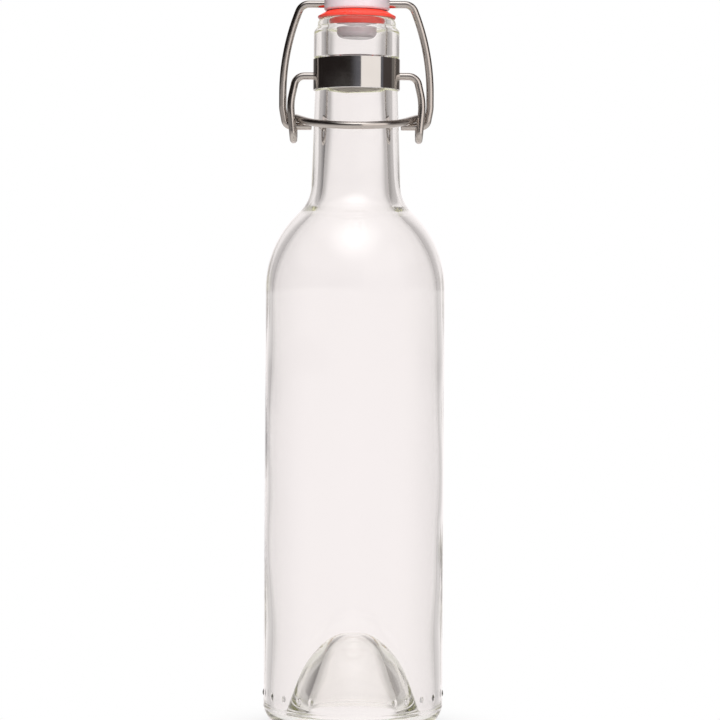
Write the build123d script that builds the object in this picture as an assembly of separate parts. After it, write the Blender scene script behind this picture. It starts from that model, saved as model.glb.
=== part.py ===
from build123d import *
import math
import os

# A small swing-top bottle: clear glass, a neck band, two wires, a stopper cap and its gasket.
# Millimetres. The origin is the centre of the base on the surface the bottle stands on, +Z is up,
# and the closing lever's handle is on the -Y side of the neck.

# --- Driving dimensions -------------------------------------------------------------------------
body_r = 30.0            # outside radius of the bottle's body
bottle_h = 237.0         # top of the glass lip
wire_d = 2.5             # both wires are bent from the same stock
running_gap = 0.05       # radial clearance wherever one metal part turns on another
rubber_gap = 0.11        # rubber modelled just clear of the lip it seals against

# Glass
heel_r = 7.3             # rounding between the side and the base
bearing_r = 20.5         # inside of the narrow ring the bottle stands on
shoulder_top = 161.6     # height at which the side and the shoulder's slope would meet
shoulder_in = 175.6      # height at which the slope and the neck would meet
neck_root_r = 15.1
neck_top_r = 13.83       # just under the band
groove_r = 13.75         # the band turns in this groove
bead_r = 14.35           # the bead over the band
lip_r = 13.0
lip_rounding = 1.6
mouth_r = 9.7            # bore at the lip
mouth_rounding = 1.2
bore_top = 232.0         # the bore starts to taper here
bore_end = (10.7, 184.0)        # radius, height where the bore opens into the shoulder
cavity_top = (27.6, 144.0)      # radius, height where the shoulder ends inside
cavity_foot = (27.5, 9.2)       # radius, height where the inside turns in to the floor
floor_z = 3.4            # lowest point of the inside
punt_foot = (21.7, 6.4)  # radius, height where the floor turns up into the punt
punt_h = 30.4            # how far the base is pushed up inside
punt_glass = 1.6         # glass thickness at the top of the punt

# Neck band
band_t = 0.8
band_low = 213.1
band_high = 223.3
seam_arc = 26.0          # degrees of overlap at the back
weld_dimple_r = 1.3
weld_spacing = 4.6       # between the two spot welds of the overlap

# Closing linkage, all of it measured in the plane x = 0
lever_pivot = (0.0, 217.8)      # y, z of the holes in the band
bail_pivot = (2.2, 201.1)       # y, z of the eyes in the lever, behind the pivot: over centre
stopper_pivot = (0.0, 241.9)    # y, z of the bail's top bar

# Lever
peg_in_x = 13.92         # inner end of the peg, flush with the inside of the band
leg_top_x = 20.2
leg_knee = (22.2, 208.7)
leg_foot = (21.05, 196.6)
strand_gap = 5.7         # front strand to back strand, centre to centre
eye_top_z = 204.4
eye_x = 21.1
handle_r = 17.6          # round the neck
handle_fall = 11.0       # degrees the handle drops towards the front

# Bail
bail_top_x = 18.5
bail_bow = (24.75, 226.0)
bail_knee_z = 207.0
bail_foot_x = 23.65
bail_peg_x = 15.0        # inner end of the pegs

# Stopper cap and gasket
cap_r = 11.0
cap_low = 239.6
cap_high = 253.0
cap_edge = 0.9
stem_r = 4.6
button_r = 6.75
button_low = 230.4
button_high = 234.4
gasket_rim_r = 13.2
gasket_low = 234.5
gasket_high = 239.55


def tube_sweep(path):
    """Round wire along a path, with the two cut ends slightly broken."""
    start = Plane(origin=path @ 0, z_dir=path % 0)
    wire = sweep(start * Circle(wire_d / 2), path=path)
    ends = [
        wire.edges().filter_by(GeomType.CIRCLE).sort_by_distance(path @ end)[0]
        for end in (0, 1)
    ]
    return chamfer(ends, 0.25)


def rounded(corners):
    """Open polyline through (x, y[, z], fillet radius) corners."""
    points = [corner[:-1] for corner in corners]
    radii = [corner[-1] for corner in corners[1:-1]]
    return FilletPolyline(*points, radius=radii)


def turned(outline):
    """Solid of revolution about Z from a closed outline of (radius, height, fillet) corners."""
    points = [corner[:-1] for corner in outline]
    radii = [corner[-1] for corner in outline]
    section = make_face(Plane.XZ * FilletPolyline(*points, radius=radii, close=True))
    return revolve(section, Axis.Z)


def bottle_glass():
    """Lathe-turned bottle: side, shoulder, neck, band groove, bead, lip, bore, cavity and punt."""
    outside = rounded([
        (bearing_r, 0, 0),
        (body_r, 0, heel_r),
        (body_r, shoulder_top, 34.5),
        (neck_root_r, shoulder_in, 13.0),
        (neck_top_r, band_low - 0.1, 0.03),
        (groove_r, band_low - 0.1, 0),
        (groove_r, band_high + 0.1, 0.1),
        (bead_r, band_high + 0.6, 0.5),
        (bead_r, 232.9, 1.5),
        (lip_r + 0.15, 234.1, 1.0),
        (lip_r, bottle_h, lip_rounding),
        (mouth_r, bottle_h, mouth_rounding),
        (mouth_r, bore_top, 0),
    ])
    bore = Spline(
        (mouth_r, bore_top),
        (10.15, 206.0),
        bore_end,
        tangents=[(0, -1), (0.07, -1)],
    )
    shoulder = rounded([
        (*bore_end, 0),
        (11.5, 174.7, 14.0),
        (cavity_top[0], 159.8, 32.0),
        (*cavity_top, 0),
    ])
    cavity = Spline(
        cavity_top,
        (28.3, 90.0),
        (27.5, 42.0),
        (27.0, 28.0),
        cavity_foot,
        tangents=[(0, -1), (0, -1)],
    )
    floor = rounded([
        (*cavity_foot, 0),
        (cavity_foot[0], floor_z, 3.9),
        (22.7, floor_z, 1.0),
        (*punt_foot, 0),
    ])
    punt_inside = Spline(
        punt_foot,
        (19.4, 13.0),
        (15.0, 22.2),
        (8.8, 28.0),
        (0, punt_h),
        tangents=[(-0.9, 2.6), (-1, 0)],
    )
    punt_outside = Spline(
        (0, punt_h - punt_glass),
        (7.7, 25.2),
        (12.4, 15.8),
        (15.3, 5.5),
        (bearing_r, 0),
        tangents=[(1, 0), (1, -0.25)],
    )
    axis = Line((0, punt_h), (0, punt_h - punt_glass))
    outline = Wire([
        edge
        for part in (outside, bore, shoulder, cavity, floor, punt_inside, axis, punt_outside)
        for edge in part.edges()
    ])
    return revolve(Plane.XZ * make_face(outline), Axis.Z)


def neck_band():
    """Sheet strip closed round the groove, lapped at the back, with a pivot hole each side."""
    inner_r = groove_r + running_gap
    height = band_high - band_low
    ring = Cylinder(inner_r + band_t, height) - Cylinder(inner_r, height)
    lap = Cylinder(inner_r + 2 * band_t, height) - Cylinder(inner_r + band_t, height)
    half = math.radians(seam_arc / 2)
    reach = 2 * inner_r
    wedge = Polygon(
        (0, 0),
        (-reach * math.tan(half), reach),
        (reach * math.tan(half), reach),
        align=None,
    )
    lap = lap & extrude(wedge, height, both=True)
    middle_z = (band_low + band_high) / 2
    band = Pos(0, 0, middle_z) * (ring + lap)
    pivot_y, pivot_z = lever_pivot
    hole = Pos(0, pivot_y, pivot_z) * Rot(0, 90, 0) * Cylinder(wire_d / 2 + running_gap, 4 * inner_r)
    band -= hole
    for side in (-1, 1):
        weld_z = middle_z + side * weld_spacing / 2
        band -= Pos(0, inner_r + 2 * band_t + 0.8 * weld_dimple_r, weld_z) * Sphere(weld_dimple_r)
    return band


def handle_corner():
    """Where the handle's two straight sides would meet in front, in the handle's own plane."""
    slope = math.radians(handle_fall)
    back = eye_y() / math.cos(slope)
    reach = math.hypot(eye_x, back)
    eye_angle = math.pi / 2 + math.atan2(back, eye_x)
    touch_angle = eye_angle - math.acos(handle_r / reach)
    ahead = handle_r / math.cos(touch_angle)
    return (0, -ahead * math.cos(slope), eye_top_z - (ahead + back) * math.sin(slope))


def eye_y():
    """Middle of the back strand, set so the bail's peg runs midway between the strands."""
    return bail_pivot[0] + strand_gap / 2


def lever_wire():
    """Peg, bowed leg, hairpin, eye over the bail's peg and the handle round the neck."""
    pivot_y, pivot_z = lever_pivot
    front_y = eye_y() - strand_gap
    side = [
        (peg_in_x, pivot_y, pivot_z, 0),
        (leg_top_x, pivot_y, pivot_z, 3.4),
        (leg_knee[0], front_y / 2, leg_knee[1], 20.0),
        (leg_foot[0], front_y, leg_foot[1], 2.5),
        (leg_foot[0], eye_y(), leg_foot[1], 2.5),
        (eye_x, eye_y(), eye_top_z, 2.3),
    ]
    other_side = [(-x, y, z, radius) for x, y, z, radius in reversed(side)]
    return tube_sweep(rounded(side + [handle_corner() + (handle_r,)] + other_side))


def bail_wire():
    """Bar through the cap, two bowed legs and two pegs turned in through the lever's eyes."""
    top_y, top_z = stopper_pivot
    low_y, low_z = bail_pivot

    def in_plane(x, z, radius):
        return (x, top_y + (low_y - top_y) * (top_z - z) / (top_z - low_z), z, radius)

    side = [
        in_plane(bail_top_x, top_z, 3.6),
        in_plane(*bail_bow, 75.0),
        in_plane(bail_bow[0], bail_knee_z, 9.0),
        in_plane(bail_foot_x, low_z, 2.5),
        in_plane(bail_peg_x, low_z, 0),
    ]
    other_side = [(-x, y, z, radius) for x, y, z, radius in reversed(side)]
    return tube_sweep(rounded(other_side + side))


def stopper_cap():
    """Domed cap with a cross hole for the bail, on a stem that ends in a button."""
    cap = turned([
        (0, cap_high, 0),
        (7.0, cap_high - 0.5, 8.0),
        (cap_r, cap_high - 3.2, 3.0),
        (cap_r, cap_low, cap_edge),
        (stem_r, cap_low, 0),
        (stem_r, button_high, 0.3),
        (button_r, button_high, 0.5),
        (button_r, button_low, 2.0),
        (0, button_low, 0),
    ])
    bar_y, bar_z = stopper_pivot
    hole = Pos(0, bar_y, bar_z) * Rot(0, 90, 0) * Cylinder(wire_d / 2 + running_gap, 4 * cap_r)
    return cap - hole


def stopper_gasket():
    """Rubber washer: cone outside, plug into the mouth, and a recess that sits over the lip."""
    lip_clear = bottle_h + rubber_gap
    return turned([
        (stem_r + running_gap, gasket_high, 0.2),
        (9.95, gasket_high, 0.4),
        (gasket_rim_r, 237.75, 0.3),
        (12.8, 236.95, 0.2),
        (12.1, lip_clear, 0.5),
        (mouth_r - rubber_gap, lip_clear, mouth_rounding + rubber_gap),
        (9.0, gasket_low, 0.4),
        (stem_r + running_gap, gasket_low, 0.2),
    ])


nodes = (bottle_glass, neck_band, lever_wire, bail_wire, stopper_cap, stopper_gasket)

os.makedirs("parts", exist_ok=True)
for make in nodes:
    export_step(make(), f"parts/{make.__name__}.step")
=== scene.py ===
import math

import bpy
import numpy as np
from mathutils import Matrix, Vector


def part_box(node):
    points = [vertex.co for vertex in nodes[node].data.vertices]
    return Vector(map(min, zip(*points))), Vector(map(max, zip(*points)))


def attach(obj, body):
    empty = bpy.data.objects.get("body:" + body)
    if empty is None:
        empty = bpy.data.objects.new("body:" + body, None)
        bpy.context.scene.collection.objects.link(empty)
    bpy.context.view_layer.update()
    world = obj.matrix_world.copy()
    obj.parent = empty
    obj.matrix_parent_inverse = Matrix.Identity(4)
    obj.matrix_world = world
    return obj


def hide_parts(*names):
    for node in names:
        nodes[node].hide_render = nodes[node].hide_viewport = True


# A small swing-top bottle in a white studio. Lengths are metres and angles degrees, unless a line says
# otherwise. The metal, the cap and the gasket are the frame's own nodes; the glass is turned again here.

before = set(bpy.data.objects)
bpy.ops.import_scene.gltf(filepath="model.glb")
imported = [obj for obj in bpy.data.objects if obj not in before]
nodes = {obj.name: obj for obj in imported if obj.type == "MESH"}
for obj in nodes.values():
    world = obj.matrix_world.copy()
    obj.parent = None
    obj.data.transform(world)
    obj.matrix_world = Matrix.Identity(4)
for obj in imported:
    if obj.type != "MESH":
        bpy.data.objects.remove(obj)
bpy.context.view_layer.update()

MM = 0.001

# --- What the frame says --------------------------------------------------------------------------
body_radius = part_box("bottle_glass")[1].x
band_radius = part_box("neck_band")[1].x

# --- Camera ---------------------------------------------------------------------------------------
camera_distance = 0.920          # from the bottle's axis
eye_height = 0.1325
half_width_seen = 0.12095        # half of what the frame spans at the bottle
centre_height = 0.1226           # height on the bottle at the middle of the frame
side_shift = 0.00174             # the bottle stands a little left of the middle
camera_roll = 0.345
sensor_width = 36.0              # millimetres

# --- Glass detail ---------------------------------------------------------------------------------
around = 200                     # steps round the bottle
longest_step = 4.5 * MM          # along the section
turn_per_step = math.radians(6)
corner_turn = math.radians(48)   # a sharper turn than this stays a sharp edge
straight_ratio = 3.5             # a chord this much longer than its neighbour is a straight run
parting_z = 6.6 * MM             # ring where the base mould meets the side moulds
parting_height = 0.14 * MM
parting_width = 0.35 * MM
seam_height = 0.035 * MM         # upright mould seams at the two sides
seam_least_radius = 0.4 * body_radius
wall_wave = 0.12 * MM            # how uneven the blown inside is
wave_foot = 32.0 * MM            # it is gone below this, where the punt begins
wave_full = 60.0 * MM            # and full from here up
dot_z = 10.9 * MM                # row of moulded dots round the heel
dot_half_width = 0.65 * MM
dot_half_length = 1.0 * MM
dot_height = 0.35 * MM
dot_angles = (27, 36, 49, 63, 87)    # to each side of the front
heel_rows = (3.5 * MM, 14.0 * MM)    # heights between which the mesh is finer
heel_least_radius = 0.85 * body_radius
heel_step = 0.4 * MM
heel_split = 3                       # steps round the heel for each step elsewhere

# --- Studio ---------------------------------------------------------------------------------------
# Azimuth counts from the camera towards its right, and rise from its horizon upwards.
background_white = (1.0, 1.0, 1.0, 1)
dark_wall = (0.020, 0.016, 0.015, 1)         # to the left of the camera
grey_wall = (0.15, 0.15, 0.17, 1)            # to its right
brown_wall = (0.075, 0.062, 0.058, 1)        # beyond the strip light
side_panel = (0.21, 0.19, 0.175, 1)
right_back_wall = (0.10, 0.088, 0.08, 1)
left_back_wall = (0.08, 0.075, 0.07, 1)
table_front = (0.52, 0.50, 0.49, 1)
table_back = (0.34, 0.33, 0.32, 1)
table_below = (0.85, 0.83, 0.81, 1)
backdrop_white = (1.0, 0.95, 0.955, 1)
strip_white = (1.25, 1.19, 1.15, 1)
strip_azimuth = (12.0, 67.0)
strip_rise_in_metal = (-12.0, 45.0)
strip_rise_in_glass = (3.6, 45.0)
strip_share_in_glass = 0.2
overhead_white = (2.5, 2.5, 2.5, 1)
overhead_rise = 62.0
overhead_reach = 38.0
floor_half_size = 0.9
lamps = (                        # name, place from the camera, size, watts
    ("key", (-0.10, 0.85, -0.45), 0.4, 6.5),
    ("fill", (0.10, 0.08, 0.0), 0.3, 3.6),
)
lamp_aim = (0, 0.1, -camera_distance)        # the closure, as seen from the camera
glass_bounces = 96               # light reflects many times inside thick glass before it leaves


# --- Small helpers --------------------------------------------------------------------------------
def new_mesh(name, verts, faces):
    """Smooth-shaded object from vertices in metres and face index tuples."""
    mesh = bpy.data.meshes.new(name)
    mesh.from_pydata([tuple(v) for v in verts], [], faces)
    mesh.update()
    mesh.polygons.foreach_set("use_smooth", [True] * len(mesh.polygons))
    obj = bpy.data.objects.new(name, mesh)
    bpy.context.scene.collection.objects.link(obj)
    return obj


def smoothstep(value, start, end):
    """0 up to start, 1 from end on, with a soft rise between."""
    t = min(1.0, max(0.0, (value - start) / (end - start)))
    return t * t * (3 - 2 * t)


class Nodes:
    """Short hand for building a node tree. A value is a number, a colour or another node's socket."""

    def __init__(self, tree):
        self.tree = tree
        tree.nodes.clear()

    def add(self, kind, inputs=None, **settings):
        node = self.tree.nodes.new(kind)
        for key, value in settings.items():
            setattr(node, key, value)
        for key, value in (inputs or {}).items():
            self.put(node.inputs[key], value)
        return node

    def put(self, socket, value):
        if isinstance(value, bpy.types.NodeSocket):
            self.tree.links.new(value, socket)
        else:
            socket.default_value = value

    def math(self, operation, *values):
        node = self.add("ShaderNodeMath", operation=operation)
        for socket, value in zip(node.inputs, values):
            self.put(socket, value)
        return node.outputs[0]

    def smooth(self, value, start, end, low=0.0, high=1.0):
        """low up to start, high from end on, with a soft change between."""
        node = self.add(
            "ShaderNodeMapRange",
            {"Value": value, "From Min": start, "From Max": end, "To Min": low, "To Max": high},
            interpolation_type="SMOOTHSTEP",
        )
        return node.outputs["Result"]

    def span(self, value, start, end, soft):
        """1 between start and end and 0 outside them, with soft edges."""
        rising = self.smooth(value, start - soft, start + soft)
        falling = self.smooth(value, end - soft, end + soft, low=1.0, high=0.0)
        return self.math("MULTIPLY", rising, falling)

    def mix(self, factor, a, b):
        node = self.add("ShaderNodeMix", data_type="RGBA")
        self.put(node.inputs["Factor"], factor)
        self.put(node.inputs["A"], a)
        self.put(node.inputs["B"], b)
        return node.outputs["Result"]

    def noise(self, scale, stretch=(1, 1, 1), detail=3.0):
        coords = self.add("ShaderNodeTexCoord").outputs["Object"]
        mapped = self.add("ShaderNodeMapping", {"Vector": coords, "Scale": stretch})
        node = self.add(
            "ShaderNodeTexNoise",
            {"Vector": mapped.outputs[0], "Scale": scale, "Detail": detail, "Roughness": 0.5},
        )
        return node.outputs["Fac"]

    def bump(self, height, distance):
        node = self.add("ShaderNodeBump", {"Height": height, "Distance": distance, "Strength": 1.0})
        return node.outputs["Normal"]


def material(name):
    """Empty node material and its node builder."""
    mat = bpy.data.materials.new(name)
    mat.use_nodes = True
    return mat, Nodes(mat.node_tree)


def surface_output(build, shader, volume=None):
    out = build.add("ShaderNodeOutputMaterial", {"Surface": shader})
    if volume is not None:
        build.put(out.inputs["Volume"], volume)


def dress(obj, mat):
    obj.data.materials.clear()
    obj.data.materials.append(mat)


# --- Materials ------------------------------------------------------------------------------------
def glass_material():
    """Clear bottle glass, faintly warm-green where it is thick. Shadow rays pass straight through."""
    mat, build = material("bottle_glass")
    drift = build.noise(60.0, stretch=(1, 1, 0.25), detail=2.0)
    glass = build.add(
        "ShaderNodeBsdfPrincipled",
        {
            "Base Color": build.mix(drift, (0.990, 0.986, 0.983, 1), (1.0, 0.996, 0.993, 1)),
            "Roughness": 0.0,
            "IOR": 1.52,
            "Transmission Weight": 1.0,
        },
    )
    clear = build.add("ShaderNodeBsdfTransparent", {"Color": (0.93, 0.93, 0.93, 1)})
    shadow = build.add("ShaderNodeLightPath").outputs["Is Shadow Ray"]
    skin = build.add("ShaderNodeMixShader", {0: shadow, 1: glass.outputs[0], 2: clear.outputs[0]})
    absorb = build.add("ShaderNodeVolumeAbsorption", {"Color": (0.84, 0.85, 0.60, 1), "Density": 6.0})
    surface_output(build, skin.outputs[0], absorb.outputs[0])
    return mat


def wire_material():
    """Bright drawn stainless wire: faint die lines and small dull patches."""
    mat, build = material("wire_steel")
    patches = build.noise(220.0, detail=4.0)
    grain = build.noise(2600.0, stretch=(1, 1, 0.25), detail=2.0)
    steel = build.add(
        "ShaderNodeBsdfPrincipled",
        {
            "Base Color": build.mix(patches, (0.50, 0.455, 0.425, 1), (0.63, 0.585, 0.55, 1)),
            "Metallic": 1.0,
            "Roughness": build.smooth(patches, 0.3, 0.75, low=0.17, high=0.26),
            "Normal": build.bump(grain, 0.002 * MM),
        },
    )
    surface_output(build, steel.outputs[0])
    return mat


def band_material():
    """Rolled strip: bright outside with fine lines round it; against the glass it is rougher, and its
    darker colour there is painted shade.
    """
    mat, build = material("band_steel")
    lines = build.noise(900.0, stretch=(0.02, 0.02, 6.0))
    patches = build.noise(90.0, detail=4.0)
    coords = build.add("ShaderNodeTexCoord").outputs["Object"]
    flat = build.add("ShaderNodeMapping", {"Vector": coords, "Scale": (1, 1, 0)}).outputs[0]
    from_axis = build.add("ShaderNodeVectorMath", {0: flat}, operation="LENGTH").outputs["Value"]
    outside = build.smooth(from_axis, band_radius - 0.35 * MM, band_radius - 0.2 * MM)
    bright = build.mix(patches, (0.60, 0.58, 0.56, 1), (0.68, 0.66, 0.64, 1))
    polish = build.smooth(patches, 0.3, 0.75, low=0.06, high=0.12)
    steel = build.add(
        "ShaderNodeBsdfPrincipled",
        {
            # The inner face's rougher finish is the strip's own; its darker colour is painted shade
            # between band and glass.
            "Base Color": build.mix(outside, (0.42, 0.39, 0.36, 1), bright),
            "Metallic": 1.0,
            "Roughness": build.mix(outside, (0.35, 0.35, 0.35, 1), polish),
            "Normal": build.bump(lines, 0.003 * MM),
        },
    )
    surface_output(build, steel.outputs[0])
    return mat


def cap_material():
    """Pale pinkish-white gloss plastic, slightly milky."""
    mat, build = material("cap_plastic")
    cloud = build.noise(120.0, detail=2.0)
    skin = build.noise(1500.0, detail=2.0)
    plastic = build.add(
        "ShaderNodeBsdfPrincipled",
        {
            "Base Color": build.mix(cloud, (0.60, 0.52, 0.55, 1), (0.66, 0.585, 0.61, 1)),
            "Roughness": build.smooth(cloud, 0.3, 0.7, low=0.14, high=0.22),
            "Subsurface Weight": 0.25,
            "Subsurface Radius": (1.0, 0.8, 0.9),
            "Subsurface Scale": 1.5 * MM,
            "Normal": build.bump(skin, 0.004 * MM),
        },
    )
    surface_output(build, plastic.outputs[0])
    return mat


def gasket_material():
    """Bright red silicone rubber with a soft sheen."""
    mat, build = material("gasket_rubber")
    cloud = build.noise(160.0)
    skin = build.noise(2400.0)
    rubber = build.add(
        "ShaderNodeBsdfPrincipled",
        {
            "Base Color": build.mix(cloud, (0.90, 0.034, 0.012, 1), (0.98, 0.046, 0.018, 1)),
            "Roughness": build.smooth(cloud, 0.3, 0.7, low=0.26, high=0.36),
            "Specular IOR Level": 1.0,
            "Subsurface Weight": 0.15,
            "Subsurface Radius": (1.0, 0.2, 0.15),
            "Subsurface Scale": 1.0 * MM,
            "Normal": build.bump(skin, 0.006 * MM),
        },
    )
    surface_output(build, rubber.outputs[0])
    return mat


# --- The bottle's section -------------------------------------------------------------------------
def section_chain(node):
    """A turned node's section in order, as (radius, height) rows, read from the mesh's own seam line."""
    near_zero = 1e-6
    places = 7
    mesh = node.data
    co = np.array([v.co for v in mesh.vertices])
    on_seam = (np.abs(co[:, 1]) < near_zero) & (co[:, 0] > -near_zero)
    links = {}
    for edge in mesh.edges:
        ends = [(round(co[v][0], places), round(co[v][2], places)) for v in edge.vertices if on_seam[v]]
        if len(ends) == 2 and ends[0] != ends[1]:
            links.setdefault(ends[0], set()).add(ends[1])
            links.setdefault(ends[1], set()).add(ends[0])
    here = min(key for key, near in links.items() if len(near) == 1)
    chain = [here]
    seen = {here}
    while True:
        onward = [key for key in links[here] if key not in seen]
        if not onward:
            return np.array(chain)
        here = onward[0]
        seen.add(here)
        chain.append(here)


def chord_headings(chain):
    """Length of each chord, its heading, and the curve's heading as it leaves and as it arrives."""
    step = np.diff(chain, axis=0)
    length = np.hypot(step[:, 0], step[:, 1])
    heading = np.unwrap(np.arctan2(step[:, 1], step[:, 0]))
    leave = heading.copy()
    arrive = heading.copy()
    for i in range(1, len(chain) - 1):
        turn = heading[i] - heading[i - 1]
        before, after = length[i - 1], length[i]
        if abs(turn) > corner_turn:
            continue
        if max(before, after) > straight_ratio * min(before, after):
            tangent = heading[i - 1] if before > after else heading[i]
        else:
            tangent = heading[i - 1] + turn * before / (before + after)
        arrive[i - 1] = tangent
        leave[i] = tangent
    return length, heading, leave, arrive


def hermite(t, a, b, tangent_a, tangent_b):
    """Point at share t of the curve from a to b with these end tangents."""
    return (
        (2 * t**3 - 3 * t**2 + 1) * a
        + (t**3 - 2 * t**2 + t) * tangent_a
        + (3 * t**2 - 2 * t**3) * b
        + (t**3 - t**2) * tangent_b
    )


def smooth_section(chain):
    """The chain's chords replaced by curves; straight runs stay straight and sharp corners sharp."""
    length, heading, leave, arrive = chord_headings(chain)
    points = [chain[0]]
    for i, (a, b) in enumerate(zip(chain[:-1], chain[1:])):
        bend = abs(leave[i] - heading[i]) + abs(arrive[i] - heading[i])
        count = max(1, math.ceil(bend / turn_per_step), math.ceil(length[i] / longest_step))
        tangent_a = length[i] * np.array([math.cos(leave[i]), math.sin(leave[i])])
        tangent_b = length[i] * np.array([math.cos(arrive[i]), math.sin(arrive[i])])
        points += [hermite(k / count, a, b, tangent_a, tangent_b) for k in range(1, count + 1)]
    return np.clip(points, chain.min(axis=0), chain.max(axis=0))


def lip_row(section):
    """Index of the section's highest row: the outside comes before it and the inside after it."""
    return int(np.argmax(section[:, 1]))


def on_heel(point):
    radius, height = point
    return radius > heel_least_radius and heel_rows[0] < height < heel_rows[1]


def refine_heel(section):
    """The section with extra rows where the heel's dots and parting ring need them."""
    lip = lip_row(section)
    rows = [section[0]]
    for i, (a, b) in enumerate(zip(section[:-1], section[1:])):
        count = 1
        if i < lip and (on_heel(a) or on_heel(b)):
            count = math.ceil(math.hypot(*(b - a)) / heel_step)
        rows += [a + (b - a) * k / count for k in range(1, count + 1)]
    return np.array(rows)


# --- The bottle's surface -------------------------------------------------------------------------
def inside_wave(angle, z):
    """How far the blown inside wanders from round: slow swirls with two, three and five lobes."""
    two = math.sin(2 * angle + 31 * z + 0.6) * math.sin(47 * z + 0.4)
    three = math.sin(3 * angle - 83 * z) * math.sin(71 * z + 1.1)
    five = math.sin(5 * angle + 140 * z + 2.0)
    return wall_wave * smoothstep(z, wave_foot, wave_full) * (two + 0.6 * three + 0.35 * five)


def heel_relief(angle, z):
    """Parting ring and moulded dots, measured out from the heel."""
    relief = parting_height * math.exp(-(((z - parting_z) / parting_width) ** 2))
    for degrees in dot_angles:
        for side in (-1, 1):
            centre = math.radians(side * degrees - 90)
            across = math.remainder(angle - centre, 2 * math.pi) * body_radius
            away = math.hypot(across / dot_half_width, (z - dot_z) / dot_half_length)
            relief += dot_height * math.sqrt(max(0.0, 1 - away * away))
    return relief


def ring_points(radius, z, inside):
    """One row of the section carried round the axis, with its marks and unevenness."""
    heel = not inside and on_heel((radius, z))
    seamed = radius > seam_least_radius and z > heel_rows[1]
    count = around * heel_split if heel else around
    points = []
    for k in range(count):
        angle = 2 * math.pi * k / count
        out = radius
        if inside:
            out += inside_wave(angle, z)
        elif heel:
            out += heel_relief(angle, z)
        elif seamed and k in (0, count // 2):
            out += seam_height
        points.append((out * math.cos(angle), out * math.sin(angle), z))
    return points


def join_rings(lower, upper):
    """Faces between two rings of vertex indices; one ring may be split finer than the other."""
    if len(lower) > len(upper):
        return [face[::-1] for face in join_rings(upper, lower)]
    faces = []
    split = len(upper) // len(lower)
    for k, start in enumerate(lower):
        end = lower[(k + 1) % len(lower)]
        fine = [upper[(k * split + j) % len(upper)] for j in range(split + 1)]
        middle = split // 2
        faces += [(start, fine[j + 1], fine[j]) for j in range(middle)]
        faces.append((start, end, fine[middle + 1], fine[middle]))
        faces += [(end, fine[j + 1], fine[j]) for j in range(middle + 1, split)]
    return faces


def build_bottle():
    """The glass as one closed turned mesh, from the middle of the base outside to its middle inside."""
    section = refine_heel(smooth_section(section_chain(nodes["bottle_glass"])))
    lip = lip_row(section)
    verts = [(0, 0, section[0][1])]
    rings = []
    for i, (radius, z) in enumerate(section[1:-1], 1):
        points = ring_points(radius, z, inside=i > lip)
        rings.append(range(len(verts), len(verts) + len(points)))
        verts += points
    verts.append((0, 0, section[-1][1]))
    first, last = rings[0], rings[-1]
    faces = [(0, b, a) for a, b in zip(first, [*first[1:], first[0]])]
    for lower, upper in zip(rings[:-1], rings[1:]):
        faces += join_rings(lower, upper)
    faces += [(a, b, len(verts) - 1) for a, b in zip(last, [*last[1:], last[0]])]
    bottle = new_mesh("glass_bottle", verts, faces)
    dress(bottle, glass_material())
    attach(bottle, "bottle")
    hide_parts("bottle_glass")


# --- Studio ---------------------------------------------------------------------------------------
def build_floor():
    """Plain white glowing floor with a painted contact shadow: its glow dims softly where the object
    stands. The object doesn't reflect it.
    """
    corners = ((-1, -1), (1, -1), (1, 1), (-1, 1))
    verts = [(x * floor_half_size, y * floor_half_size, 0) for x, y in corners]
    floor = new_mesh("floor", verts, [(0, 1, 2, 3)])
    mat, build = material("floor_white")
    # Painted shadow: ambient occlusion near the object dims the floor's glow.
    shade = build.add("ShaderNodeAmbientOcclusion", {"Distance": 0.05}, samples=8)
    glow_with_painted_shadow = build.smooth(shade.outputs["AO"], 0.0, 0.9, low=0.55, high=1.0)
    glow = build.add("ShaderNodeEmission", {"Color": (1, 1, 1, 1), "Strength": glow_with_painted_shadow})
    surface_output(build, glow.outputs[0])
    dress(floor, mat)
    floor.visible_glossy = False
    floor.visible_transmission = False
    floor.visible_diffuse = False


def room_colour(build, azimuth):
    """Walls round the object, seen mostly in its metal."""
    room = build.mix(build.smooth(azimuth, -20.0, 8.0), dark_wall, grey_wall)
    room = build.mix(build.span(azimuth, 75.0, 108.0, soft=1.0), room, brown_wall)
    room = build.mix(build.span(azimuth, 108.0, 125.0, soft=2.0), room, side_panel)
    room = build.mix(build.smooth(azimuth, 123.0, 127.0), room, right_back_wall)
    return build.mix(build.smooth(azimuth, -134.0, -138.0), room, left_back_wall)


def table_colour(build, turned_away, rise):
    """Table under the horizon, brighter straight below."""
    table = build.mix(build.smooth(turned_away, 60.0, 110.0), table_front, table_back)
    return build.mix(build.smooth(rise, -12.0, -30.0), table, table_below)


def backdrop_share(build, turned_away, rise, through_glass):
    """How much of the lit backdrop shows: wings, middle and ceiling in glass, the middle in metal."""
    wings = build.smooth(turned_away, 108.0, 150.0, low=0.12, high=0.45)
    middle = build.smooth(turned_away, 150.0, 166.0, high=0.55)
    ceiling = build.smooth(rise, 35.0, 70.0, high=0.6)
    for_glass = build.math("MAXIMUM", build.math("ADD", wings, middle), ceiling)
    behind = build.smooth(turned_away, 150.0, 175.0)
    for_metal = build.math("MULTIPLY", behind, build.smooth(rise, 80.0, 55.0))
    return build.math("MAXIMUM", build.math("MULTIPLY", for_glass, through_glass), for_metal)


def strip_share(build, azimuth, rise, through_glass):
    """Upright strip light: full in the metal, and in the glass faint and cut off at its foot."""
    in_glass = build.math("MULTIPLY", through_glass, strip_share_in_glass)
    in_metal = build.math("SUBTRACT", 1.0, through_glass)
    for_glass = build.math("MULTIPLY", build.span(rise, *strip_rise_in_glass, soft=0.6), in_glass)
    for_metal = build.math("MULTIPLY", build.span(rise, *strip_rise_in_metal, soft=0.6), in_metal)
    upright = build.math("ADD", for_glass, for_metal)
    return build.math("MULTIPLY", build.span(azimuth, *strip_azimuth, soft=0.7), upright)


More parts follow.
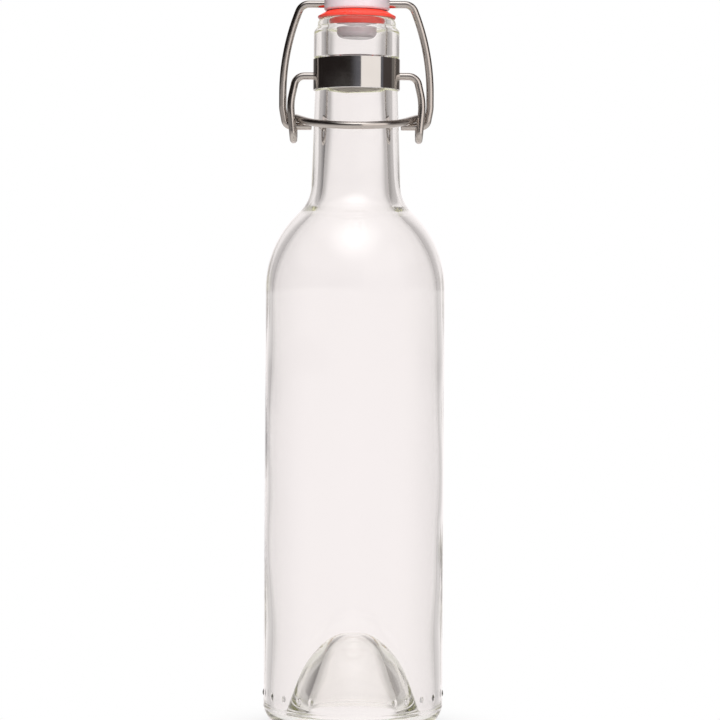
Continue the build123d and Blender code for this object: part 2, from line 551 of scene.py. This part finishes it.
def overhead_share(build, up, ahead):
    """Round soft light high on the camera's side, brightest in its middle."""
    tilt = math.radians(overhead_rise)
    toward_camera = build.math("MULTIPLY", ahead, -math.cos(tilt))
    upward = build.math("MULTIPLY", up, math.sin(tilt))
    off_axis = build.math("ARCCOSINE", build.math("ADD", toward_camera, upward))
    return build.smooth(build.math("DEGREES", off_axis), overhead_reach, 0.0)


def build_world():
    """Studio that turns with the camera. A singular ray is one that last met the clear glass."""
    world = bpy.data.worlds.new("studio")
    bpy.context.scene.world = world
    world.use_nodes = True
    build = Nodes(world.node_tree)
    path = build.add("ShaderNodeLightPath").outputs
    through_glass = path["Is Singular Ray"]
    look = build.add("ShaderNodeTexCoord").outputs["Camera"]
    right, up, ahead = build.add("ShaderNodeSeparateXYZ", {"Vector": look}).outputs
    back = build.math("MULTIPLY", ahead, -1.0)
    azimuth = build.math("DEGREES", build.math("ARCTAN2", right, back))
    rise = build.math("DEGREES", build.math("ARCSINE", up))
    turned_away = build.math("ABSOLUTE", azimuth)

    table = table_colour(build, turned_away, rise)
    colour = build.mix(build.smooth(rise, 1.9, 3.3), table, room_colour(build, azimuth))
    backdrop = backdrop_share(build, turned_away, rise, through_glass)
    colour = build.mix(backdrop, colour, backdrop_white)
    colour = build.mix(strip_share(build, azimuth, rise, through_glass), colour, strip_white)
    colour = build.mix(overhead_share(build, up, ahead), colour, overhead_white)
    colour = build.mix(path["Is Camera Ray"], colour, background_white)
    glow = build.add("ShaderNodeBackground", {"Color": colour, "Strength": 1.0})
    build.add("ShaderNodeOutputWorld", {"Surface": glow.outputs[0]})


def build_camera():
    """Long-lens camera in front of the bottle, almost level."""
    data = bpy.data.cameras.new("camera")
    data.sensor_width = sensor_width
    data.lens = 0.5 * sensor_width * camera_distance / half_width_seen
    data.clip_start = 0.05
    camera = bpy.data.objects.new("camera", data)
    bpy.context.scene.collection.objects.link(camera)
    camera.location = (side_shift, -camera_distance, eye_height)
    aim = Vector((side_shift, 0, centre_height)) - camera.location
    camera.rotation_euler = aim.to_track_quat("-Z", "Y").to_euler()
    camera.rotation_euler.rotate_axis("Z", math.radians(camera_roll))
    bpy.context.scene.camera = camera
    return camera


def build_lamps(camera):
    """Two broad lamps that travel with the camera and light only the opaque pieces."""
    for name, place, size, power in lamps:
        data = bpy.data.lights.new(name, "AREA")
        data.size = size
        data.energy = power
        lamp = bpy.data.objects.new(name, data)
        bpy.context.scene.collection.objects.link(lamp)
        lamp.parent = camera
        lamp.location = place
        aim = Vector(lamp_aim) - lamp.location
        lamp.rotation_euler = aim.to_track_quat("-Z", "Y").to_euler()
        lamp.visible_glossy = False
        lamp.visible_transmission = False
        lamp.visible_camera = False


def set_light_paths():
    """Bounce limits. A reflection inside the glass counts as glossy, so that limit is high too."""
    cycles = bpy.context.scene.cycles
    cycles.max_bounces = glass_bounces
    cycles.transmission_bounces = glass_bounces
    cycles.glossy_bounces = glass_bounces
    cycles.diffuse_bounces = 4
    cycles.transparent_max_bounces = 12
    cycles.caustics_refractive = True
    cycles.caustics_reflective = True
    bpy.context.scene.view_settings.view_transform = "Standard"


build_bottle()
steel = wire_material()
dress(nodes["lever_wire"], steel)
dress(nodes["bail_wire"], steel)
dress(nodes["neck_band"], band_material())
dress(nodes["stopper_cap"], cap_material())
dress(nodes["stopper_gasket"], gasket_material())
build_floor()
build_world()
build_lamps(build_camera())
set_light_paths()
